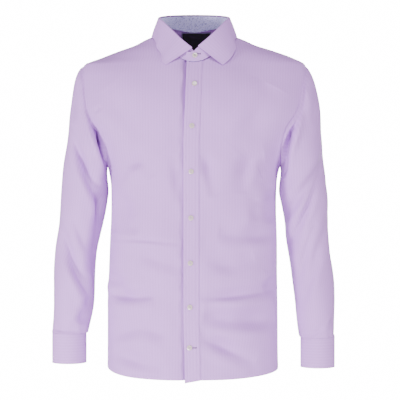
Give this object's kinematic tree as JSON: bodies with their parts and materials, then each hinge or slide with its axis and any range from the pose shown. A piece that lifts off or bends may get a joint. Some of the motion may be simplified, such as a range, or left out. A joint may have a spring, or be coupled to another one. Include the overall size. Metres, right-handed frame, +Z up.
{
  "type": "long sleeve dress shirt",
  "caption": "Long sleeve dress shirt, filled out as worn: buttoned front with box placket, turned-down collar, set-in sleeves, barrel cuffs and curved hem.",
  "frame": {"origin": "centre of the neck opening, level with the side neck points where the collar meets the shoulders", "axes": "+Z up along the wearer, the front of the shirt faces -Y, +X towards the wearer's left sleeve"},
  "size_m": [0.6195, 0.2424, 0.8132],
  "materials": {
    "shirting": "lilac cotton shirting with a fine upright hairline weave and a slight sheen",
    "inner_collar": "pale blue cotton with a small speckled print",
    "label": "black woven ribbon, plain",
    "button": "pale pearly resin"
  },
  "bodies": {
    "root": {"front_right": "shirting", "front_left": "shirting", "front_placket": "shirting", "back": "shirting", "yoke": "shirting", "sleeve_right": "shirting", "sleeve_left": "shirting", "cuff_right": "shirting", "cuff_left": "shirting", "sleeve_placket_right": "shirting", "sleeve_placket_left": "shirting", "collar_stand": "shirting", "collar_stand_facing": "inner_collar", "collar_leaf": "shirting", "neck_label": "label", "button_collar": "button", "button_front_1": "button", "button_front_2": "button", "button_front_3": "button", "button_front_4": "button", "button_front_5": "button", "button_front_6": "button", "button_front_7": "button", "button_cuff_right": "button", "button_cuff_left": "button"}
  },
  "joints": []
}
